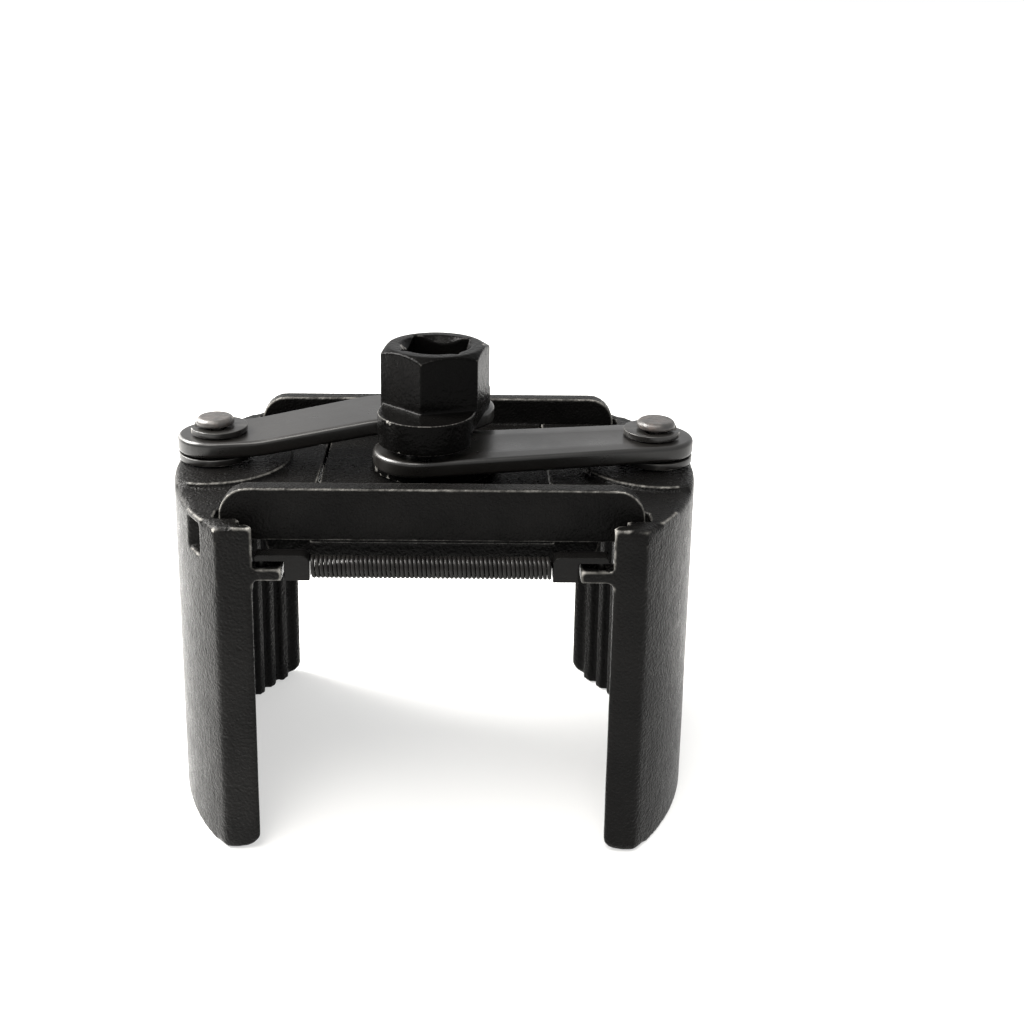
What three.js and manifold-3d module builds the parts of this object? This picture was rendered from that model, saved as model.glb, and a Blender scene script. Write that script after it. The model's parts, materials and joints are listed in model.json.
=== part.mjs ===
// Two-way, two-jaw oil filter wrench for a half-inch square drive.
// Millimetres, +Z up, resting on the lower ends of the jaws, hub axis on Z.
// A cast bridge carries two sliding jaws. A hub with two crank pins pulls the
// jaws in or pushes them out through two flat links, and two extension
// springs draw the jaws together.
import * as THREE from 'three';
import * as BufferGeometryUtils from 'three/addons/utils/BufferGeometryUtils.js';
import Module from 'manifold-3d';

const wasm = await Module();
wasm.setup();

// ---- driving dimensions --------------------------------------------------
const DECK = 79.5;            // top edge of the bridge rails above the floor
const GAP = 0.3;              // running gap between touching pieces

const RAIL = { halfLength: 43.4, outerY: 32, thickness: 4, depth: 11.2, corner: 6 };
const SKIRT = { halfLength: 33.5, depth: 17.3, innerY: 26.2, outerY: 28.8 };
const WEB = { halfLength: 25.2, top: -6.8, bottom: -12.8, bore: 11.4 };

const HEX_AF = 22;            // across flats
const HEX_ANGLE = 16.8;       // plan angle of one hexagon corner, degrees
const HEX = { bottom: 9.1, top: 21.6 };
const DRIVE = { square: 12.9, sinkR: 8.1 };
const CAM = { bottom: 5.1, top: 9.1, lobeR: 10.6, lip: 2.3 };
const CRANK = { r: 9.2, angle: -101.8, pinR: 3.0, holeR: 4.6, collarR: 4.4 };
const DISC = { r: 14.4, top: -3.8, bottom: -6.5, journalR: 11.0 };

const LINK = { outerR: 8.4, innerR: 9.9, thickness: 3.7, top: 0.8, rise: 4.0, tail: 1.7 };
const JAWPIN = { x: 49.6, r: 3.1, holeR: 3.5, headR: 4.3, top: 4.5 };
const CLIP = { r: 6.3, bottom: 1.1, top: 2.4, grooveR: 2.5 };

const JAW = { innerR: 52.0, outerR: 55.4, outerX: 58.0, faceX: 35.8, halfDepth: 37.7,
  lidTop: -6.2, lidBottom: -11.0, bossR: 17, bossTop: -5.0 };
const SLOT = { inY: 27.6, outY: 32.4, endX: 44.4, bottom: -12.0, window: -14.4 };
const SPRING = { r: 2.35, y: 35, z: -15.5, halfCoil: 24.2, halfPlug: 29.6 };
const LUG = { x0: 30.1, x1: 38, yIn: 32.8, yOut: 37.6, z0: -17.7, z1: -15.1, holeX: 34.4, holeR: 1.15 };

const OPENING_STROKE = 10.06; // travel of each jaw, rest to fully open

// ---- helpers ---------------------------------------------------------------
const rad = THREE.MathUtils.degToRad;
const material = (color, roughness, metalness) =>
  new THREE.MeshStandardMaterial({ color, roughness, metalness });
const castBlack = material(0x1b1a19, 0.55, 0.45);
const plateBlack = material(0x23211f, 0.38, 0.7);
const pinBlack = material(0x2a2523, 0.45, 0.75);
const springSteel = material(0x38322f, 0.35, 0.85);

function solid(geometry) {
  let g = geometry.index ? geometry.toNonIndexed() : geometry.clone();
  g.deleteAttribute('normal');
  g.deleteAttribute('uv');
  g = BufferGeometryUtils.mergeVertices(g, 1e-4);
  const p = g.attributes.position.array;
  const t = g.index.array;
  let volume = 0;
  for (let i = 0; i < t.length; i += 3) {
    const a = t[i] * 3, b = t[i + 1] * 3, c = t[i + 2] * 3;
    volume += p[a] * (p[b + 1] * p[c + 2] - p[b + 2] * p[c + 1])
      - p[a + 1] * (p[b] * p[c + 2] - p[b + 2] * p[c])
      + p[a + 2] * (p[b] * p[c + 1] - p[b + 1] * p[c]);
  }
  const tri = new Uint32Array(t.length);
  for (let i = 0; i < t.length; i += 3) {
    tri[i] = t[i];
    tri[i + 1] = volume < 0 ? t[i + 2] : t[i + 1];
    tri[i + 2] = volume < 0 ? t[i + 1] : t[i + 2];
  }
  return new wasm.Manifold(new wasm.Mesh({
    numProp: 3, vertProperties: new Float32Array(p), triVerts: tri }));
}

// outline in plan, extruded from z0 to z1 (heights measured from the deck)
function slab(points, z0, z1) {
  const shape = new THREE.Shape(points.map(([x, y]) => new THREE.Vector2(x, y)));
  const g = new THREE.ExtrudeGeometry(shape, { depth: z1 - z0, bevelEnabled: false });
  g.translate(0, 0, z0 + DECK);
  return solid(g);
}

// outline in X-Z, extruded along Y
function plank(points, y0, y1) {
  const shape = new THREE.Shape(points.map(([x, z]) => new THREE.Vector2(x, z + DECK)));
  const g = new THREE.ExtrudeGeometry(shape, { depth: y1 - y0, bevelEnabled: false });
  g.rotateX(Math.PI / 2);
  g.translate(0, y1, 0);
  return solid(g);
}

const box = (x0, x1, y0, y1, z0, z1) => {
  const g = new THREE.BoxGeometry(x1 - x0, y1 - y0, z1 - z0);
  g.translate((x0 + x1) / 2, (y0 + y1) / 2, (z0 + z1) / 2 + DECK);
  return solid(g);
};

// body of revolution about a vertical axis; profile is [radius, z] pairs
function turned(profile, x = 0, y = 0, segments = 40) {
  const g = new THREE.LatheGeometry(
    profile.map(([r, z]) => new THREE.Vector2(r, z)), segments);
  g.rotateX(Math.PI / 2);
  g.translate(x, y, DECK);
  return solid(g);
}
const rod = (r, z0, z1, x = 0, y = 0, segments = 40) =>
  turned([[0, z0], [r, z0], [r, z1], [0, z1]], x, y, segments);

// body of revolution about an axis along X; profile is [radius, x] pairs
function turnedX(profile, y, z, segments = 16) {
  const g = new THREE.LatheGeometry(
    profile.map(([r, x]) => new THREE.Vector2(r, x)), segments);
  g.rotateZ(-Math.PI / 2);
  g.translate(0, y, z + DECK);
  return solid(g);
}

function arc(cx, cy, r, a0, a1, n) {
  const out = [];
  for (let i = 0; i <= n; i++) {
    const a = rad(a0 + (a1 - a0) * i / n);
    out.push([cx + r * Math.cos(a), cy + r * Math.sin(a)]);
  }
  return out;
}

const group = new THREE.Group();
function put(name, manifold, mat) {
  const m = manifold.getMesh();
  const g = new THREE.BufferGeometry();
  g.setAttribute('position', new THREE.BufferAttribute(new Float32Array(m.vertProperties), 3));
  g.setIndex(new THREE.BufferAttribute(new Uint32Array(m.triVerts), 1));
  g.computeVertexNormals();
  const mesh = new THREE.Mesh(g, mat);
  mesh.name = name;
  group.add(mesh);
}
const sum = (list) => list.reduce((a, b) => a.add(b));
const flipX = (m) => m.mirror([1, 0, 0]);
const turnHalf = (m) => m.rotate([0, 0, 180]);

// ---- bridge: two rails, a web with the hub bore, stiffening skirts -----------
function bridge() {
  const { halfLength: L, outerY, thickness, depth, corner } = RAIL;
  const rail = plank([
    [-L, -depth], [L, -depth],
    ...arc(L - corner, -corner, corner, 0, 90, 6),
    ...arc(-L + corner, -corner, corner, 90, 180, 6),
  ], outerY - thickness, outerY);
  const S = SKIRT.halfLength;
  const skirt = plank([
    [-S, -SKIRT.depth], [S, -SKIRT.depth], [S + 1.5, -depth - 0.2], [-S - 1.5, -depth - 0.2],
  ], SKIRT.innerY, SKIRT.outerY);
  const root = plank([[-S, -depth - 0.8], [S, -depth - 0.8], [S, -depth + 1], [-S, -depth + 1]],
    outerY - thickness, SKIRT.outerY);
  const side = rail.add(skirt).add(root);
  const web = box(-WEB.halfLength, WEB.halfLength, -outerY + thickness / 2, outerY - thickness / 2,
    WEB.bottom, WEB.top);
  const hubBoss = rod(15.5, WEB.bottom - 0.6, WEB.bottom + 1, 0, 0, 48);
  return side.add(turnHalf(side)).add(web).add(hubBoss)
    .subtract(rod(WEB.bore, WEB.bottom - 2, WEB.top + 2, 0, 0, 48));
}
put('bridge', bridge(), castBlack);

// ---- hub: hexagon with scalloped chamfer, square drive hole, two cam lobes -----
const crankDir = [Math.cos(rad(CRANK.angle)), Math.sin(rad(CRANK.angle))];
const frontPin = [CRANK.r * crankDir[0], CRANK.r * crankDir[1]];
const rearPin = [-frontPin[0], -frontPin[1]];

function driveHub() {
  const R = HEX_AF / Math.sqrt(3);
  const hexPts = [];
  for (let i = 0; i < 6; i++) hexPts.push([R * Math.cos(rad(HEX_ANGLE + 60 * i)), R * Math.sin(rad(HEX_ANGLE + 60 * i))]);
  const chamfer = Math.tan(rad(30));
  const faceR = HEX_AF / 2 - 0.4;
  const cone = turned([[0, CAM.bottom - 5], [R + 2, CAM.bottom - 5],
    [R + 2, HEX.top - chamfer * (R + 2 - faceR)], [faceR, HEX.top], [0, HEX.top]], 0, 0, 60);
  const hex = slab(hexPts, CAM.top - 1, HEX.top).intersect(cone);
  const a = CRANK.angle;
  const camPts = [
    ...arc(frontPin[0], frontPin[1], CAM.lobeR, a - 90, a + 90, 32),
    ...arc(rearPin[0], rearPin[1], CAM.lobeR, a + 90, a + 270, 32),
  ];
  // the front lobe has a lip that hangs lower, outside its crank pin
  const lip = slab([
    ...arc(frontPin[0], frontPin[1], CAM.lobeR, a - 78.75, a + 78.75, 28),
    ...arc(frontPin[0], frontPin[1], 6.2, a + 62, a - 62, 10),
  ], CAM.lip, CAM.bottom + 0.5);
  let hub = hex.add(slab(camPts, CAM.bottom, CAM.top)).add(lip);
  const s = DRIVE.square / 2;
  const sq = [[-s, -s], [s, -s], [s, s], [-s, s]].map(([x, y]) => {
    const c = Math.cos(rad(-11.8)), n = Math.sin(rad(-11.8));
    return [x * c - y * n, x * n + y * c];
  });
  hub = hub.subtract(slab(sq, CAM.bottom - 2, HEX.top + 2));
  const sink = turned([[0, HEX.top - 3.2], [6.2, HEX.top - 1.9], [DRIVE.sinkR, HEX.top],
    [DRIVE.sinkR, HEX.top + 1], [0, HEX.top + 1]], 0, 0, 48);
  hub = hub.subtract(sink);
  for (const [x, y] of [frontPin, rearPin]) {
    hub = hub.subtract(rod(CRANK.pinR + GAP, CAM.bottom - 1, CAM.top - 1.2, x, y, 28));
  }
  return hub;
}
put('drive_hub', driveHub(), castBlack);

// lower crank disc with the journal that turns in the bridge
{
  let disc = turned([[0, -16.0], [DISC.journalR - 0.5, -16.0], [DISC.journalR, -15.5],
    [DISC.journalR, -15.2], [9.6, -15.2], [9.6, -13.9], [DISC.journalR, -13.9],
    [DISC.journalR, DISC.bottom], [DISC.r, DISC.bottom], [DISC.r, DISC.top], [0, DISC.top]], 0, 0, 48);
  for (const [x, y] of [frontPin, rearPin]) {
    disc = disc.subtract(rod(CRANK.pinR + GAP, -7.2, DISC.top + 1, x, y, 28));
  }
  put('crank_disc', disc, castBlack);
}
// split retaining ring in the journal groove, under the bridge
{
  const ring = rod(12.9, -15.0, -14.1, 0, 0, 48).subtract(rod(9.9, -16, -13, 0, 0, 40))
    .subtract(box(-2.2, 2.2, 8, 14, -16, -13));
  put('hub_retaining_ring', ring, springSteel);
}
// crank pins: the front one carries the lower link, the rear one the upper link
{
  const low = [[0, -6.4], [CRANK.pinR, -6.4], [CRANK.pinR, 1.1], [CRANK.collarR, 1.1],
    [CRANK.collarR, 4.8], [CRANK.pinR, 4.8], [CRANK.pinR, 7.6], [0, 7.6]];
  const high = [[0, -6.4], [CRANK.pinR, -6.4], [CRANK.pinR, -3.5], [CRANK.collarR, -3.5],
    [CRANK.collarR, 0.8], [CRANK.pinR, 0.8], [CRANK.pinR, 7.6], [0, 7.6]];
  put('front_crank_pin', turned(low, frontPin[0], frontPin[1], 28), pinBlack);
  put('rear_crank_pin', turned(high, rearPin[0], rearPin[1], 28), pinBlack);
}

// ---- links -------------------------------------------------------------------
// drawn along +X from the jaw pin at the origin, then set in place
const linkLength = Math.hypot(JAWPIN.x - frontPin[0], frontPin[1]);
const linkAngle = Math.atan2(-frontPin[1], JAWPIN.x - frontPin[0]) * 180 / Math.PI;
function link(rise) {
  const R = LINK.outerR, E = LINK.innerR, L = linkLength, t = LINK.thickness;
  const bottom = LINK.top - t;
  const end = L + LINK.tail;
  // tangent points of the two eyes
  const lean = Math.asin((E - R) / end) * 180 / Math.PI;
  const outline = [
    ...arc(0, 0, R, 90 + lean, 270 - lean, 16),
    ...arc(end, 0, E, -90 - lean, 90 + lean, 18),
  ];
  let body;
  if (rise === 0) {
    body = slab(outline, bottom, LINK.top);
  } else {
    // side profile: flat eye, gentle ramp, flat eye one link thickness higher
    const x0 = -R - 1, x1 = 9, x2 = L - 17, x3 = end + E + 1;
    const ramp = plank([
      [x0, bottom], [x1, bottom], [x2, bottom + rise], [x3, bottom + rise],
      [x3, LINK.top + rise], [x2, LINK.top + rise], [x1, LINK.top], [x0, LINK.top],
    ], -E - 1, E + 1);
    body = ramp.intersect(slab(outline, bottom - 1, LINK.top + rise + 1));
  }
  return body
    .subtract(rod(JAWPIN.holeR, bottom - 1, LINK.top + rise + 1, 0, 0, 28))
    .subtract(rod(CRANK.holeR, bottom - 1, LINK.top + rise + 1, L, 0, 28));
}
put('right_link', link(0).rotate([0, 0, 180 + linkAngle]).translate([JAWPIN.x, 0, 0]), plateBlack);
put('left_link', link(LINK.rise + 0).rotate([0, 0, linkAngle]).translate([-JAWPIN.x, 0, 0]), plateBlack);

// ---- jaws -----------------------------------------------------------------------
function rightJaw() {
  const bottom = -DECK;
  const H = JAW.halfDepth;
  // centre of the outer arc, from its apex and its ends
  const cx = JAW.outerX - JAW.outerR;
  const outEnd = Math.asin(H / JAW.outerR) * 180 / Math.PI;
  const inEnd = Math.atan2(H, JAW.faceX) * 180 / Math.PI;
  // gripping face: vertical saw ribs along the inner arc
  const ribs = [];
  const n = 19;
  for (let i = 0; i < n; i++) {
    const a0 = inEnd - (2 * inEnd) * i / n;
    const a1 = inEnd - (2 * inEnd) * (i + 1) / n;
    const at = (a, r) => [r * Math.cos(rad(a)), r * Math.sin(rad(a))];
    ribs.push(at(a0, JAW.innerR + 0.5));
    ribs.push(at(a0 + (a1 - a0) * 0.18, JAW.innerR - 0.75));
    ribs.push(at(a0 + (a1 - a0) * 0.62, JAW.innerR - 0.75));
    ribs.push(at(a0 + (a1 - a0) * 0.82, JAW.innerR + 0.5));
  }
  ribs.push([JAW.innerR * Math.cos(rad(-inEnd)), -H]);
  ribs[0] = [JAW.innerR * Math.cos(rad(inEnd)), H];
  const wall = slab([
    ...arc(cx, 0, JAW.outerR, -outEnd, outEnd, 30), ...ribs,
  ], bottom, JAW.lidTop);
  // lid between the rails and the horn strips outside them
  const inner = WEB.halfLength + GAP;
  const lidY = RAIL.outerY - RAIL.thickness - 0.4;
  const lid = box(inner, 50, -lidY, lidY, JAW.lidBottom, JAW.lidTop);
  const outline = slab([...arc(cx, 0, JAW.outerR, -outEnd, outEnd, 30), [0, H], [0, -H]],
    bottom, JAW.bossTop + 1);
  const boss = rod(JAW.bossR, JAW.lidBottom, JAW.bossTop, JAWPIN.x, 0, 48).intersect(outline)
    .intersect(box(0, 70, -lidY, lidY, -40, 0));
  const pinBoss = rod(8.5, -16, JAW.lidBottom + 1, JAWPIN.x, 0, 32);
  let jaw = wall.add(lid).add(boss).add(pinBoss);
  // running slots for the rails, open below and towards the centre, with a
  // window that leaves through the outer wall
  for (const s of [1, -1]) {
    const y0 = Math.min(s * SLOT.inY, s * SLOT.outY), y1 = Math.max(s * SLOT.inY, s * SLOT.outY);
    jaw = jaw.subtract(box(20, SLOT.endX, y0, y1, SLOT.bottom, 5));
    if (s > 0) jaw = jaw.subtract(box(20, 60, y0, y1, SLOT.window, -7.6));
  }
  // rounded lower inner corners of the end faces
  const c = 5;
  const corner = plank([
    [JAW.faceX - 3, -DECK - 2], [JAW.faceX + c - 0.5, -DECK - 2], [JAW.faceX + c - 0.5, -DECK],
    ...arc(JAW.faceX + c - 0.6, -DECK + c, c, -90, -180, 5).slice(1),
    [JAW.faceX - 0.6, -DECK + c + 1], [JAW.faceX - 3, -DECK + c + 1],
  ], -60, 60);
  jaw = jaw.subtract(corner);
  jaw = jaw.subtract(rod(JAWPIN.holeR, -18, 0, JAWPIN.x, 0, 28));
  // spring lugs on both end faces
  for (const s of [1, -1]) {
    const y0 = Math.min(s * LUG.yIn, s * LUG.yOut), y1 = Math.max(s * LUG.yIn, s * LUG.yOut);
    jaw = jaw.add(box(LUG.x0, LUG.x1, y0, y1, LUG.z0, LUG.z1))
      .subtract(rod(LUG.holeR, LUG.z0 - 1, LUG.z1 + 1, LUG.holeX, s * SPRING.y, 20));
  }
  return jaw;
}
const jaw = rightJaw();
put('right_jaw', jaw, castBlack);
put('left_jaw', turnHalf(jaw), castBlack);

// jaw pins with a grooved head, retaining clips and thrust washers
const jawPin = (x) => turned([
  [0, -15.8], [JAWPIN.r, -15.8], [JAWPIN.r, CLIP.bottom - 0.1], [CLIP.grooveR, CLIP.bottom - 0.1],
  [CLIP.grooveR, CLIP.top + 0.3], [JAWPIN.headR, CLIP.top + 0.4],
  [JAWPIN.headR, JAWPIN.top - 0.5], [JAWPIN.headR - 0.6, JAWPIN.top], [0, JAWPIN.top]], x, 0, 28);
put('right_jaw_pin', jawPin(JAWPIN.x), pinBlack);
put('left_jaw_pin', jawPin(-JAWPIN.x), pinBlack);
{
  let clip = rod(CLIP.r, CLIP.bottom, CLIP.top, -0.9, 0, 36)
    .subtract(rod(CLIP.grooveR + GAP, CLIP.bottom - 1, CLIP.top + 1, 0, 0, 28))
    .subtract(box(0, 9, -2.1, 2.1, CLIP.bottom - 1, CLIP.top + 1));
  for (const a of [110, -110]) {
    clip = clip.subtract(rod(1.5, CLIP.bottom - 1, CLIP.top + 1,
      3.1 * Math.cos(rad(a)), 3.1 * Math.sin(rad(a)), 18));
  }
  put('right_pin_clip', clip.translate([JAWPIN.x, 0, 0]), plateBlack);
  put('left_pin_clip', turnHalf(clip).translate([-JAWPIN.x, 0, 0]), plateBlack);
  const washer = rod(8.3, -4.7, -3.2, 0, 0, 48).subtract(rod(JAWPIN.holeR, -6, -2, 0, 0, 28));
  put('right_link_washer', washer.translate([JAWPIN.x, 0, 0]), plateBlack);
  put('left_link_washer', washer.translate([-JAWPIN.x, 0, 0]), plateBlack);
}

// ---- springs with their plugs and hooks -------------------------------------------
function spring(y) {
  return turnedX([[0, -SPRING.halfCoil], [SPRING.r, -SPRING.halfCoil],
    [SPRING.r, SPRING.halfCoil], [0, SPRING.halfCoil]], y, SPRING.z, 16);
}
function hook(y) {
  // flat end clip: a cheek against the coil, an arm over the lug and a peg in the lug's hole
  const a = SPRING.halfCoil + GAP, e = SPRING.halfPlug, z = SPRING.z;
  const top = LUG.z1 + 2.6;
  const cheek = plank([
    [a, z - 2.4], [e, z - 2.4], [e, top - 1.3], [LUG.holeX + 1.3, top - 1.3],
    ...arc(LUG.holeX + 0.7, top - 0.6, 0.6, 0, 90, 3),
    ...arc(a + 1.6, top - 1.6, 1.6, 90, 180, 4),
  ], y - 1.7, y + 1.7);
  const peg = rod(0.8, LUG.z0 + 0.2, top - 1, LUG.holeX, y, 16);
  return cheek.add(peg);
}
for (const [side, y] of [['front', -SPRING.y], ['rear', SPRING.y]]) {
  put(`${side}_spring`, spring(y), springSteel);
  const h = hook(y);
  put(`${side}_right_spring_hook`, h, springSteel);
  put(`${side}_left_spring_hook`, flipX(h), springSteel);
}

export default group;
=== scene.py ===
import bpy, bmesh, json, math
import numpy as np
from mathutils import Vector, Matrix, noise


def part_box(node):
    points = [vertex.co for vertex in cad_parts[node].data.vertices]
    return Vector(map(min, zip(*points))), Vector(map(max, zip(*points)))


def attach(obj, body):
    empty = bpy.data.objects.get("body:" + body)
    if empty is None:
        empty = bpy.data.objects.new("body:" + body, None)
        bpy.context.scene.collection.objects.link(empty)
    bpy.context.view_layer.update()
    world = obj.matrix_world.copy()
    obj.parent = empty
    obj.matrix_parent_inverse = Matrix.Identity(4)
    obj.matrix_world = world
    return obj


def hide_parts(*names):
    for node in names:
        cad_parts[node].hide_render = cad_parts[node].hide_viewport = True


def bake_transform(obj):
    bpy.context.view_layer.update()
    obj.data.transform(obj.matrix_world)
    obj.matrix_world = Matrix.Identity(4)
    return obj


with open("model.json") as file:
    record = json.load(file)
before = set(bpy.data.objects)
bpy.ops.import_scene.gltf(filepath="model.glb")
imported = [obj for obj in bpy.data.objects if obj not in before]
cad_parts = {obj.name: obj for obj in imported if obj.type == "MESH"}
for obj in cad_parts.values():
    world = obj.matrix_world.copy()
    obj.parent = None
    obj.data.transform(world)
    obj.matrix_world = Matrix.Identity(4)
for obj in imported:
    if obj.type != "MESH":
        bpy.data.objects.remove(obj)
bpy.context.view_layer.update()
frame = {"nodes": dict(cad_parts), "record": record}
MM = 0.001

# ---- the design's own levels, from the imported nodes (mm) ---------------------------
def bx(node):
    lo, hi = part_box(node)
    return [v / MM for v in lo], [v / MM for v in hi]

bridge_lo, bridge_hi = bx("bridge")
DECK = bridge_hi[2]
scene = bpy.context.scene
coll = scene.collection

# ---- camera ---------------------------------------------------------------------------
cam_data = bpy.data.cameras.new("camera")
cam = bpy.data.objects.new("camera", cam_data)
coll.objects.link(cam)
scene.camera = cam
F_PX, PX, PY = 1293.5, 462.0, 310.0
cam_data.sensor_width = 36.0
cam_data.lens = F_PX / 1024 * 36.0
cam_data.shift_x = (512 - PX) / 1024
cam_data.shift_y = (PY - 512) / 1024
cam_data.clip_start, cam_data.clip_end = 0.01, 20
pitch, roll = 0.2440, 0.008
cam.rotation_mode = "QUATERNION"
q = Matrix.Rotation(math.pi / 2 - pitch, 3, "X")
cam.rotation_quaternion = (q @ Matrix.Rotation(roll, 3, "Z")).to_quaternion()
cam.location = (0.00576, -0.27635, 0.09826 + DECK * MM)

# ---- materials ------------------------------------------------------------------------
def new_mat(name):
    m = bpy.data.materials.new(name)
    m.use_nodes = True
    nt = m.node_tree
    nt.nodes.clear()
    out = nt.nodes.new("ShaderNodeOutputMaterial")
    b = nt.nodes.new("ShaderNodeBsdfPrincipled")
    nt.links.new(b.outputs[0], out.inputs[0])
    return m, nt, b

def tex_noise(nt, scale, detail=4.0, rough=0.5, dist=0.0, stretch=None):
    tc = nt.nodes.new("ShaderNodeTexCoord")
    src = tc.outputs["Object"]
    if stretch:
        mp = nt.nodes.new("ShaderNodeMapping")
        mp.inputs["Scale"].default_value = stretch
        nt.links.new(src, mp.inputs["Vector"])
        src = mp.outputs[0]
    n = nt.nodes.new("ShaderNodeTexNoise")
    n.inputs["Scale"].default_value = scale
    n.inputs["Detail"].default_value = detail
    n.inputs["Roughness"].default_value = rough
    n.inputs["Distortion"].default_value = dist
    nt.links.new(src, n.inputs["Vector"])
    return n.outputs["Fac"]

def ramp(nt, fac, stops):
    r = nt.nodes.new("ShaderNodeValToRGB")
    els = r.color_ramp.elements
    while len(els) < len(stops):
        els.new(0.5)
    for e, (p, c) in zip(els, stops):
        e.position = p
        e.color = (*c, 1) if hasattr(c, "__len__") else (c, c, c, 1)
    nt.links.new(fac, r.inputs[0])
    return r.outputs[0]

def math_node(nt, op, a, b=None, c=None):
    n = nt.nodes.new("ShaderNodeMath")
    n.operation = op
    for i, v in enumerate((a, b, c)):
        if v is None:
            continue
        if isinstance(v, (int, float)):
            n.inputs[i].default_value = v
        else:
            nt.links.new(v, n.inputs[i])
    return n.outputs[0]

def mix_col(nt, fac, a, b):
    n = nt.nodes.new("ShaderNodeMix")
    n.data_type = "RGBA"
    nt.links.new(fac, n.inputs["Factor"])
    for sock, v in ((n.inputs[6], a), (n.inputs[7], b)):
        if isinstance(v, tuple):
            sock.default_value = (*v, 1)
        else:
            nt.links.new(v, sock)
    return n.outputs[2]

def bump(nt, height, dist, strength, normal=None):
    n = nt.nodes.new("ShaderNodeBump")
    n.inputs["Distance"].default_value = dist
    n.inputs["Strength"].default_value = strength
    nt.links.new(height, n.inputs["Height"])
    if normal is not None:
        nt.links.new(normal, n.inputs["Normal"])
    return n.outputs[0]

def pointiness(nt, lo, hi):
    g = nt.nodes.new("ShaderNodeNewGeometry")
    mr = nt.nodes.new("ShaderNodeMapRange")
    mr.interpolation_type = "SMOOTHSTEP"
    mr.inputs["From Min"].default_value = lo
    mr.inputs["From Max"].default_value = hi
    nt.links.new(g.outputs["Pointiness"], mr.inputs["Value"])
    return mr.outputs[0]

def smooth(nt, v, a, b):
    mr = nt.nodes.new("ShaderNodeMapRange")
    mr.interpolation_type = "SMOOTHSTEP"
    mr.inputs["From Min"].default_value = a
    mr.inputs["From Max"].default_value = b
    nt.links.new(v, mr.inputs["Value"])
    return mr.outputs[0]

def cast_material(name, grain=1700.0, depth=0.00012, coarse=0.00005, rough=(0.24, 0.34), tone=1.0, pitted=False,
                  edge_highlight_range=(0.515, 0.558), gloss=0.065, edge_highlight_above=None):
    m, nt, b = new_mat(name)
    wide = tex_noise(nt, 90, 3.0)
    lo, hi = 0.0022 * tone, 0.0045 * tone
    col = ramp(nt, wide, [(0.3, (lo, lo * 0.96, lo * 0.92)), (0.7, (hi, hi * 0.95, hi * 0.90))])
    # sharp edges painted paler by pointiness: a painted edge highlight, partly worn coat; a noise breaks the pale
    # line up
    edge_highlight = pointiness(nt, *edge_highlight_range)
    highlight_breakup = tex_noise(nt, 700, 4.0, 0.6)
    edge_highlight = math_node(nt, "MULTIPLY", edge_highlight, ramp(nt, highlight_breakup, [(0.36, 0.30), (0.60, 1.0)]))
    if edge_highlight_above is not None:
        # the painted edge highlight is kept to the upper part: it fades in above this height
        tc = nt.nodes.new("ShaderNodeTexCoord")
        sep = nt.nodes.new("ShaderNodeSeparateXYZ")
        nt.links.new(tc.outputs["Object"], sep.inputs[0])
        edge_highlight = math_node(nt, "MULTIPLY", edge_highlight, smooth(nt, sep.outputs[2], edge_highlight_above, edge_highlight_above + 0.012))
    col = mix_col(nt, edge_highlight, col, (0.24, 0.232, 0.215))
    nt.links.new(col, b.inputs["Base Color"])
    r = ramp(nt, tex_noise(nt, 320, 4.0), [(0.3, rough[0]), (0.7, rough[1])])
    nt.links.new(r, b.inputs["Roughness"])
    b.inputs["Metallic"].default_value = 0.0
    b.inputs["IOR"].default_value = 1.5
    b.inputs["Specular IOR Level"].default_value = gloss
    n = bump(nt, tex_noise(nt, grain, 3.0, 0.55), depth, 1.0)
    n = bump(nt, tex_noise(nt, grain * 0.5, 2.0, 0.5), coarse * 2.0, 1.0, n)
    if pitted:
        # a few small casting pits
        pits = ramp(nt, tex_noise(nt, 700, 1.0, 0.3), [(0.72, 1.0), (0.79, 0.0)])
        n = bump(nt, pits, 0.00018, 0.6, n)
    nt.links.new(n, b.inputs["Normal"])
    return m

def plate_material(name):
    m, nt, b = new_mat(name)
    wide = tex_noise(nt, 45, 3.0)
    col = ramp(nt, wide, [(0.3, (0.0040, 0.0037, 0.0033)), (0.75, (0.0075, 0.0068, 0.0060))])
    # painted highlight: the sharp edges of the plate are painted paler by pointiness
    edge_highlight = pointiness(nt, 0.525, 0.57)
    col = mix_col(nt, edge_highlight, col, (0.18, 0.173, 0.160))
    nt.links.new(col, b.inputs["Base Color"])
    r = ramp(nt, tex_noise(nt, 130, 5.0, 0.6), [(0.3, 0.26), (0.7, 0.36)])
    nt.links.new(r, b.inputs["Roughness"])
    b.inputs["Metallic"].default_value = 0.0
    b.inputs["IOR"].default_value = 1.5
    b.inputs["Specular IOR Level"].default_value = 0.42
    n1 = bump(nt, tex_noise(nt, 1500, 4.0, 0.6), 0.00002, 1.0)
    n2 = bump(nt, tex_noise(nt, 60, 2.0, 0.5), 0.00015, 0.4, n1)
    nt.links.new(n2, b.inputs["Normal"])
    return m

def pin_material(name):
    m, nt, b = new_mat(name)
    wide = tex_noise(nt, 380, 4.0, 0.6)
    col = ramp(nt, wide, [(0.35, (0.016, 0.0150, 0.0140)), (0.6, (0.034, 0.0290, 0.0260)), (0.78, (0.075, 0.056, 0.047))])
    # painted highlight: the sharp edges of the pin are painted paler by pointiness
    edge_highlight = pointiness(nt, 0.52, 0.62)
    col = mix_col(nt, edge_highlight, col, (0.16, 0.145, 0.13))
    nt.links.new(col, b.inputs["Base Color"])
    r = ramp(nt, tex_noise(nt, 500, 4.0), [(0.3, 0.30), (0.7, 0.48)])
    nt.links.new(r, b.inputs["Roughness"])
    b.inputs["Metallic"].default_value = 0.0
    b.inputs["IOR"].default_value = 1.55
    nt.links.new(bump(nt, tex_noise(nt, 1100, 4.0, 0.6), 0.00014, 1.0), b.inputs["Normal"])
    return m

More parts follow.
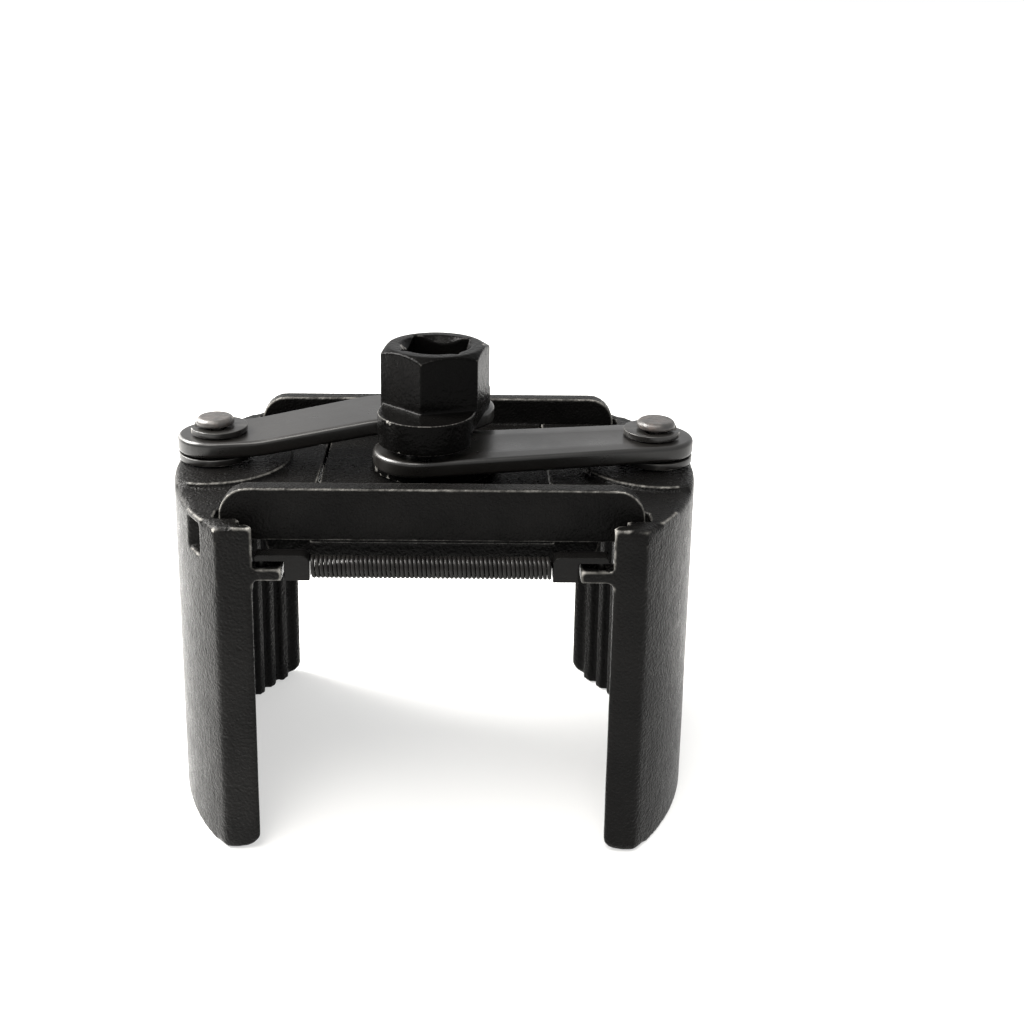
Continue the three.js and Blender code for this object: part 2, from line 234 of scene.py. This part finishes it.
def wire_material(name):
    m, nt, b = new_mat(name)
    col = ramp(nt, tex_noise(nt, 220, 4.0), [(0.35, (0.005, 0.0047, 0.0044)), (0.7, (0.011, 0.0103, 0.0096))])
    nt.links.new(col, b.inputs["Base Color"])
    r = ramp(nt, tex_noise(nt, 300, 2.0), [(0.3, 0.26), (0.7, 0.34)])
    nt.links.new(r, b.inputs["Roughness"])
    b.inputs["Metallic"].default_value = 0.0
    b.inputs["Specular IOR Level"].default_value = 0.16
    return m

M_CAST = cast_material("satin_black_casting", depth=0.00021, coarse=0.00008, pitted=True, edge_highlight_above=0.050)
M_HUB = cast_material("satin_black_forging", depth=0.00006, coarse=0.00005, rough=(0.20, 0.28), tone=0.5, edge_highlight_range=(0.526, 0.575), gloss=0.035)
M_BRIDGE = cast_material("satin_black_bridge", grain=2100.0, depth=0.00017, coarse=0.00009, rough=(0.23, 0.32), gloss=0.045)
M_PLATE = plate_material("black_oxide_plate")
M_PIN = pin_material("black_oxide_pin")
M_WIRE = wire_material("spring_wire")
M_CLIP = cast_material("black_spring_clip", depth=0.00004, coarse=0.00002, rough=(0.26, 0.36), edge_highlight_range=(0.70, 0.90), gloss=0.10)

# ---- mesh helpers ---------------------------------------------------------------------
def make(name, me, mat, body, slot, *nodes):
    o = bpy.data.objects.new(name, me)
    coll.objects.link(o)
    me.materials.clear()
    me.materials.append(mat)
    return finish_piece(o, body, slot, *nodes)

def finish_piece(o, body, slot, *nodes):
    for p in o.data.polygons:
        p.use_smooth = True
    if body:
        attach(o, body)
    if nodes:
        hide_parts(*nodes)
    return o

def apply_mods(o):
    bpy.context.view_layer.update()
    dg = bpy.context.evaluated_depsgraph_get()
    me = bpy.data.meshes.new_from_object(o.evaluated_get(dg))
    old = o.data
    o.modifiers.clear()
    o.data = me
    bpy.data.meshes.remove(old)

def cast_piece(node, name, body, mat, voxel, iters, keep=0.4, ripple=0.05, soft=None):
    """A casting: the CAD shape with its edges rounded off all over and a slightly uneven skin."""
    src = frame["nodes"][node]
    me = bpy.data.meshes.new(name)
    bm = bmesh.new()
    bm.from_mesh(src.data)
    bmesh.ops.remove_doubles(bm, verts=bm.verts, dist=1e-6)
    bm.to_mesh(me)
    bm.free()
    o = bpy.data.objects.new(name, me)
    coll.objects.link(o)
    r = o.modifiers.new("remesh", "REMESH")
    r.mode = "VOXEL"
    r.voxel_size = voxel * MM
    r.adaptivity = 0.0
    s = o.modifiers.new("smooth", "SMOOTH")
    s.factor = 0.5
    s.iterations = iters
    apply_mods(o)
    me = o.data
    if soft:
        # heavier rounding where the real casting is blunt
        group = o.vertex_groups.new(name="blunt")
        for v in me.vertices:
            w = soft(v.co.x / MM, v.co.y / MM, v.co.z / MM - DECK)
            if w > 0:
                group.add([v.index], w, "REPLACE")
        s = o.modifiers.new("blunt", "SMOOTH")
        s.factor = 0.5
        s.iterations = 60
        s.vertex_group = "blunt"
        apply_mods(o)
        o.vertex_groups.clear()
        me = o.data
    n = len(me.vertices)
    co = np.empty(n * 3); me.vertices.foreach_get("co", co); co = co.reshape(-1, 3)
    no = np.empty(n * 3); me.vertices.foreach_get("normal", no); no = no.reshape(-1, 3)
    d = np.empty(n)
    for i in range(n):
        p = Vector(co[i] * 1000.0)
        d[i] = -ripple * (0.5 + 0.5 * noise.noise(p * 0.16))
    co += no * (d * MM)[:, None]
    me.vertices.foreach_set("co", co.reshape(-1))
    me.update()
    if keep < 1:
        dm = o.modifiers.new("decimate", "DECIMATE")
        dm.ratio = keep
        apply_mods(o)
    o.data.name = name
    o.data.materials.clear()
    o.data.materials.append(mat)
    return finish_piece(o, body, SLOT[node], node)

SLOT = {s["node"]: s["material_slot"] for s in frame["record"]["subparts"]}

def revolve(name, profile, x, y, mat, body, slot, nodes, segs=72):
    """profile: [radius, height above deck] pairs in mm, from the axis to the axis."""
    bm = bmesh.new()
    rings = []
    for r, z in profile:
        if r < 1e-6:
            rings.append([bm.verts.new((x * MM, y * MM, (z + DECK) * MM))])
        else:
            rings.append([bm.verts.new(((x + r * math.cos(2 * math.pi * i / segs)) * MM,
                (y + r * math.sin(2 * math.pi * i / segs)) * MM, (z + DECK) * MM)) for i in range(segs)])
    for a, b in zip(rings, rings[1:]):
        for i in range(segs):
            j = (i + 1) % segs
            if len(a) == 1:
                bm.faces.new((a[0], b[j], b[i]))
            elif len(b) == 1:
                bm.faces.new((a[i], a[j], b[0]))
            else:
                bm.faces.new((a[i], a[j], b[j], b[i]))
    bmesh.ops.recalc_face_normals(bm, faces=bm.faces)
    me = bpy.data.meshes.new(name)
    bm.to_mesh(me)
    bm.free()
    return make(name, me, mat, body, slot, *nodes)

def rounded(profile, r=0.25, n=4):
    """Rounds every inner corner of a [radius, height] profile."""
    out = [profile[0]]
    for p0, p1, p2 in zip(profile, profile[1:], profile[2:]):
        a, b, c = (np.array(v, float) for v in (p0, p1, p2))
        u, w = a - b, c - b
        lu, lw = np.linalg.norm(u), np.linalg.norm(w)
        k = min(r, lu * 0.45, lw * 0.45)
        s, e = b + u / lu * k, b + w / lw * k
        for i in range(n + 1):
            t = i / n
            out.append(tuple((1 - t) ** 2 * s + 2 * t * (1 - t) * b + t ** 2 * e))
    out.append(profile[-1])
    return out

def circle(cx, cy, r, n=48):
    return [(cx + r * math.cos(2 * math.pi * i / n), cy + r * math.sin(2 * math.pi * i / n)) for i in range(n)]

def plate(name, loops, z0, z1, bevel, lift=None, cuts=0, res=3):
    """Flat plate from an outline and holes, with rounded edges; lift(x) shifts it upwards in its own frame."""
    cu = bpy.data.curves.new(name, "CURVE")
    cu.dimensions = "2D"
    cu.fill_mode = "BOTH"
    cu.extrude = ((z1 - z0) / 2 - bevel) * MM
    cu.bevel_depth = bevel * MM
    cu.bevel_resolution = res
    cu.offset = -bevel * MM
    for loop in loops:
        sp = cu.splines.new("POLY")
        sp.points.add(len(loop) - 1)
        for p, (x, y) in zip(sp.points, loop):
            p.co = (x * MM, y * MM, 0, 1)
        sp.use_cyclic_u = True
    tmp = bpy.data.objects.new(name + "_tmp", cu)
    coll.objects.link(tmp)
    bpy.context.view_layer.update()
    me = bpy.data.meshes.new_from_object(tmp.evaluated_get(bpy.context.evaluated_depsgraph_get()))
    bpy.data.objects.remove(tmp)
    bm = bmesh.new()
    bm.from_mesh(me)
    bmesh.ops.remove_doubles(bm, verts=bm.verts, dist=1e-6)
    if cuts:
        xs = [v.co.x for v in bm.verts]
        lo, hi = min(xs), max(xs)
        for i in range(1, cuts):
            x = lo + (hi - lo) * i / cuts
            bmesh.ops.bisect_plane(bm, geom=bm.verts[:] + bm.edges[:] + bm.faces[:], plane_co=(x, 0, 0), plane_no=(1, 0, 0), dist=1e-7)
    for v in bm.verts:
        z = (z0 + z1) / 2 + DECK
        if lift:
            z += lift(v.co.x / MM)
        v.co.z += z * MM
    bmesh.ops.recalc_face_normals(bm, faces=bm.faces)
    me2 = bpy.data.meshes.new(name)
    bm.to_mesh(me2)
    bm.free()
    bpy.data.meshes.remove(me)
    return me2

def auto_smooth(me, angle=math.radians(30)):
    me.polygons.foreach_set("use_smooth", [True] * len(me.polygons))
    me.set_sharp_from_angle(angle=angle)

# ---- castings ---------------------------------------------------------------------------
def step(v, a, b):
    t = min(1.0, max(0.0, (v - a) / (b - a)))
    return t * t * (3 - 2 * t)

def jaw_soft(x, y, z):
    """blunt ends of the jaw walls, and the blunt upper rim of the outer wall"""
    ends = step(abs(y), 33.5, 35.5) * step(-z, 18.6, 20.6)
    rim = step(math.hypot(abs(x) - 2.6, y), 52.4, 53.6) * step(z, -9.6, -8.0)
    return max(ends, rim * (1 - step(abs(y), 26.5, 27.5) * (1 - step(abs(y), 33, 34))))

cast_piece("bridge", "bridge_casting", "frame", M_BRIDGE, 0.34, 6, keep=0.45, ripple=0.05)
cast_piece("right_jaw", "right_jaw_casting", "right_jaw_body", M_CAST, 0.36, 6, keep=0.45, ripple=0.06, soft=jaw_soft)
cast_piece("left_jaw", "left_jaw_casting", "left_jaw_body", M_CAST, 0.36, 6, keep=0.45, ripple=0.06, soft=jaw_soft)
cast_piece("drive_hub", "drive_hub_forging", "hub", M_HUB, 0.25, 7, keep=1.0, ripple=0.03)
cast_piece("crank_disc", "crank_disc_forging", "hub", M_HUB, 0.3, 4, keep=0.4, ripple=0.03)

# ---- links --------------------------------------------------------------------------------
CR, CA, JX = 9.2, math.radians(-101.8), 49.6
fp = (CR * math.cos(CA), CR * math.sin(CA))
LL = math.hypot(JX - fp[0], fp[1])
LA = math.atan2(-fp[1], JX - fp[0])
R1, R2, TAIL, TOP, THICK, RISE = 8.4, 9.9, 1.7, 0.8, 3.7, 4.0

def link_loops():
    n = 28
    end = LL + TAIL
    lean = math.asin((R2 - R1) / end)
    out = []
    for i in range(n + 1):
        a = math.pi / 2 + lean + (math.pi - 2 * lean) * i / n
        out.append((R1 * math.cos(a), R1 * math.sin(a)))
    for i in range(n + 1):
        a = -math.pi / 2 - lean + (math.pi + 2 * lean) * i / n
        out.append((end + R2 * math.cos(a), R2 * math.sin(a)))
    return [out, circle(0, 0, 3.5), circle(LL, 0, 4.6)]

def rise(x):
    # pressed step: straight ramp with eased ends
    u, k = (x - 9) / (LL - 26), 0.09
    if u < -k or u > 1 + k:
        return RISE * min(1.0, max(0.0, u))
    if u < k:
        return RISE * (u + k) ** 2 / (4 * k)
    if u > 1 - k:
        return RISE * (1 - (1 - u + k) ** 2 / (4 * k))
    return RISE * u

for side, body, lift, ang, at in (("right", "right_link_body", None, math.pi + LA, JX), ("left", "left_link_body", rise, LA, -JX)):
    me = plate(side + "_link_bar", link_loops(), TOP - THICK, TOP, 0.95, lift, 48 if lift else 0, 6)
    me.transform(Matrix.Translation((at * MM, 0, 0)) @ Matrix.Rotation(ang, 4, "Z"))
    auto_smooth(me)
    o = make(side + "_link_bar", me, M_PLATE, body, "plate_black", side + "_link")
    auto_smooth(o.data)

# ---- pins, clips, washers --------------------------------------------------------------------
for side, s in (("right", 1), ("left", -1)):
    body = side + "_jaw_body"
    x = s * JX
    revolve(side + "_jaw_pin_turned", rounded([(0, -15.8), (3.1, -15.8), (3.1, 1.0), (2.5, 1.0), (2.5, 2.7),
        (4.3, 2.8), (4.3, 3.8), (3.6, 4.5), (0, 4.48)], 0.45, 5), x, 0, M_PIN, body, "pin_steel", [side + "_jaw_pin"])
    # retaining clip: an E-shaped ring, open away from the hub
    # clip outline in one loop: outer ring, mouth, two relief notches and the seat
    pts = []
    cx = -0.9
    a0 = math.asin(2.1 / 6.3)
    for i in range(57):
        a = a0 + (2 * math.pi - 2 * a0) * i / 56
        pts.append((cx + 6.3 * math.cos(a), 6.3 * math.sin(a)))
    seat = []
    n = 90
    for i in range(n + 1):
        a = -(math.pi - 0.0) + 2 * math.pi * i / n
        r = 2.8
        for c in (math.radians(110), math.radians(-110)):
            px, py = 3.1 * math.cos(c), 3.1 * math.sin(c)
            # ray from the origin at angle a against the notch circle
            b = px * math.cos(a) + py * math.sin(a)
            h = 1.5 ** 2 - (3.1 ** 2 - b * b)
            if h > 0:
                r = max(r, b + math.sqrt(h))
        x1, y1 = r * math.cos(a), r * math.sin(a)
        if x1 > 0 and abs(y1) < 2.1:
            continue
        seat.append((x1, y1))
    lower = [p for p in seat if p[1] < 0]
    upper = [p for p in seat if p[1] >= 0]
    # walk: outer ring from the upper lip anticlockwise to the lower lip, then the seat back
    low = sorted(lower, key=lambda p: math.atan2(p[1], p[0]), reverse=True)
    up = sorted(upper, key=lambda p: math.atan2(p[1], p[0]), reverse=True)
    loop = pts + [(2.0, -2.1)] + low + up + [(2.0, 2.1)]
    loop = [(px * s, py * s) for px, py in loop]
    me = plate(side + "_clip", [loop], 1.1, 2.4, 0.16)
    me.transform(Matrix.Translation((x * MM, 0, 0)))
    o = make(side + "_pin_clip_stamped", me, M_PLATE, body, "plate_black", side + "_pin_clip")
    auto_smooth(o.data)
    me = plate(side + "_washer", [circle(0, 0, 8.3, 64), circle(0, 0, 3.5, 40)], -4.7, -3.2, 0.25)
    me.transform(Matrix.Translation((x * MM, 0, 0)))
    o = make(side + "_link_washer_flat", me, M_PLATE, body, "plate_black", side + "_link_washer")
    auto_smooth(o.data)

low = rounded([(0, -6.4), (3.0, -6.4), (3.0, 1.1), (4.4, 1.1), (4.4, 4.8), (3.0, 4.8), (3.0, 7.6), (0, 7.6)], 0.3)
high = rounded([(0, -6.4), (3.0, -6.4), (3.0, -3.5), (4.4, -3.5), (4.4, 0.8), (3.0, 0.8), (3.0, 7.6), (0, 7.6)], 0.3)
revolve("front_crank_pin_turned", low, fp[0], fp[1], M_PIN, "hub", "pin_steel", ["front_crank_pin"])
revolve("rear_crank_pin_turned", high, -fp[0], -fp[1], M_PIN, "hub", "pin_steel", ["rear_crank_pin"])

# retaining ring, split at the back
ring = []
g = math.asin(2.2 / 12.9)
for i in range(73):
    a = math.pi / 2 + g + (2 * math.pi - 2 * g) * i / 72
    ring.append((12.9 * math.cos(a), 12.9 * math.sin(a)))
g2 = math.asin(2.2 / 9.9)
for i in range(73):
    a = math.pi / 2 - g2 - (2 * math.pi - 2 * g2) * i / 72
    ring.append((9.9 * math.cos(a), 9.9 * math.sin(a)))
o = make("hub_retaining_ring_wire", plate("ring", [ring], -15.0, -14.1, 0.2), M_WIRE, "hub", "spring_steel", "hub_retaining_ring")
auto_smooth(o.data)

# ---- springs --------------------------------------------------------------------------------
SY, SZ, HALF, WIRE, PITCH = 35.0, -15.5, 24.2, 0.885, 0.896
COIL_R = 2.35 - WIRE / 2

def coil(name, x0, x1, y, phase, mat):
    turns = abs(x1 - x0) / PITCH
    per = 20
    n = int(round(turns * per))
    m = 10
    bm = bmesh.new()
    rings = []
    c0 = np.array([0, y, SZ + DECK])
    for i in range(n + 1):
        t = i / n
        x = x0 + (x1 - x0) * t
        a = phase + 2 * math.pi * (x - 0.0) / PITCH
        rad = np.array([0, math.cos(a), math.sin(a)])
        tan = np.array([PITCH / (2 * math.pi * COIL_R), -math.sin(a), math.cos(a)])
        tan /= np.linalg.norm(tan)
        bi = np.cross(tan, rad)
        c = c0 + np.array([x, 0, 0]) + rad * COIL_R
        ring = []
        for k in range(m):
            b = 2 * math.pi * k / m
            p = (c + (rad * math.cos(b) + bi * math.sin(b)) * WIRE / 2) * MM
            ring.append(bm.verts.new(p))
        rings.append(ring)
    for a, b in zip(rings, rings[1:]):
        for k in range(m):
            bm.faces.new((a[k], a[(k + 1) % m], b[(k + 1) % m], b[k]))
    bm.faces.new(rings[0][::-1])
    bm.faces.new(rings[-1])
    bmesh.ops.recalc_face_normals(bm, faces=bm.faces)
    me = bpy.data.meshes.new(name)
    bm.to_mesh(me)
    bm.free()
    o = bpy.data.objects.new(name, me)
    coll.objects.link(o)
    me.materials.append(mat)
    for p in me.polygons:
        p.use_smooth = True
    return o

for where, y in (("front", -SY), ("rear", SY)):
    r = coil(where + "_coil_right", 0.0, HALF, y, 0.4, M_WIRE)
    l = coil(where + "_coil_left", -HALF, 0.0, y, 0.4, M_WIRE)
    for o, body, sx in ((r, "right_jaw_body", 1), (l, "left_jaw_body", -1)):
        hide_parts(where + "_spring")
        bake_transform(o)

for where in ("front", "rear"):
    for side in ("right", "left"):
        cast_piece(f"{where}_{side}_spring_hook", f"{where}_{side}_spring_clip", side + "_jaw_body", M_CLIP, 0.13, 3, keep=1.0, ripple=0.0)

# ---- stage ------------------------------------------------------------------------------------
# plain pale floor in a plain pale room, both evenly lit
fm, nt, b = new_mat("pale_floor")
b.inputs["Base Color"].default_value = (0.50, 0.50, 0.495, 1)
b.inputs["Emission Color"].default_value = (1, 1, 0.99, 1)
b.inputs["Emission Strength"].default_value = 0.5
b.inputs["Roughness"].default_value = 0.9
b.inputs["Specular IOR Level"].default_value = 0.0
bm = bmesh.new()
bmesh.ops.create_grid(bm, x_segments=1, y_segments=1, size=30.0)
me = bpy.data.meshes.new("floor")
bm.to_mesh(me)
bm.free()
floor = bpy.data.objects.new("floor", me)
coll.objects.link(floor)
me.materials.append(fm)
floor.location = (0, 0, -0.0002)

world = bpy.data.worlds.new("studio")
scene.world = world
world.use_nodes = True
nt = world.node_tree
nt.nodes.clear()
out = nt.nodes.new("ShaderNodeOutputWorld")
bg = nt.nodes.new("ShaderNodeBackground")
nt.links.new(bg.outputs[0], out.inputs[0])
bg.inputs["Color"].default_value = (1.0, 1.0, 1.0, 1)
bg.inputs["Strength"].default_value = 1.0

def area(name, loc, target, size, power, color=(1, 0.98, 0.95)):
    l = bpy.data.lights.new(name, "AREA")
    l.shape = "RECTANGLE"
    l.size, l.size_y = size
    l.energy = power
    l.color = color
    o = bpy.data.objects.new(name, l)
    coll.objects.link(o)
    o.location = loc
    o.rotation_euler = (Vector(target) - Vector(loc)).to_track_quat("-Z", "Y").to_euler()
    return o
area("back_left_softbox", (-0.50, 0.42, 0.22), (0, 0, 0.05), (0.40, 0.30), 2.5, (1, 0.97, 0.92))
area("left_softbox", (-0.36, 0.08, 0.36), (-0.20, 0.04, 0.0), (0.30, 0.30), 11.0, (1, 0.98, 0.95))
key = bpy.data.lights.new("overhead_soft_light", "SUN")
key.energy = 2.3
key.angle = 0.50
key.color = (1, 0.97, 0.93)
o = bpy.data.objects.new("overhead_soft_light", key)
coll.objects.link(o)
o.rotation_euler = Vector((-0.12, -0.30, 0.72)).to_track_quat("Z", "Y").to_euler()

scene.view_settings.view_transform = "Standard"
scene.view_settings.look = "None"
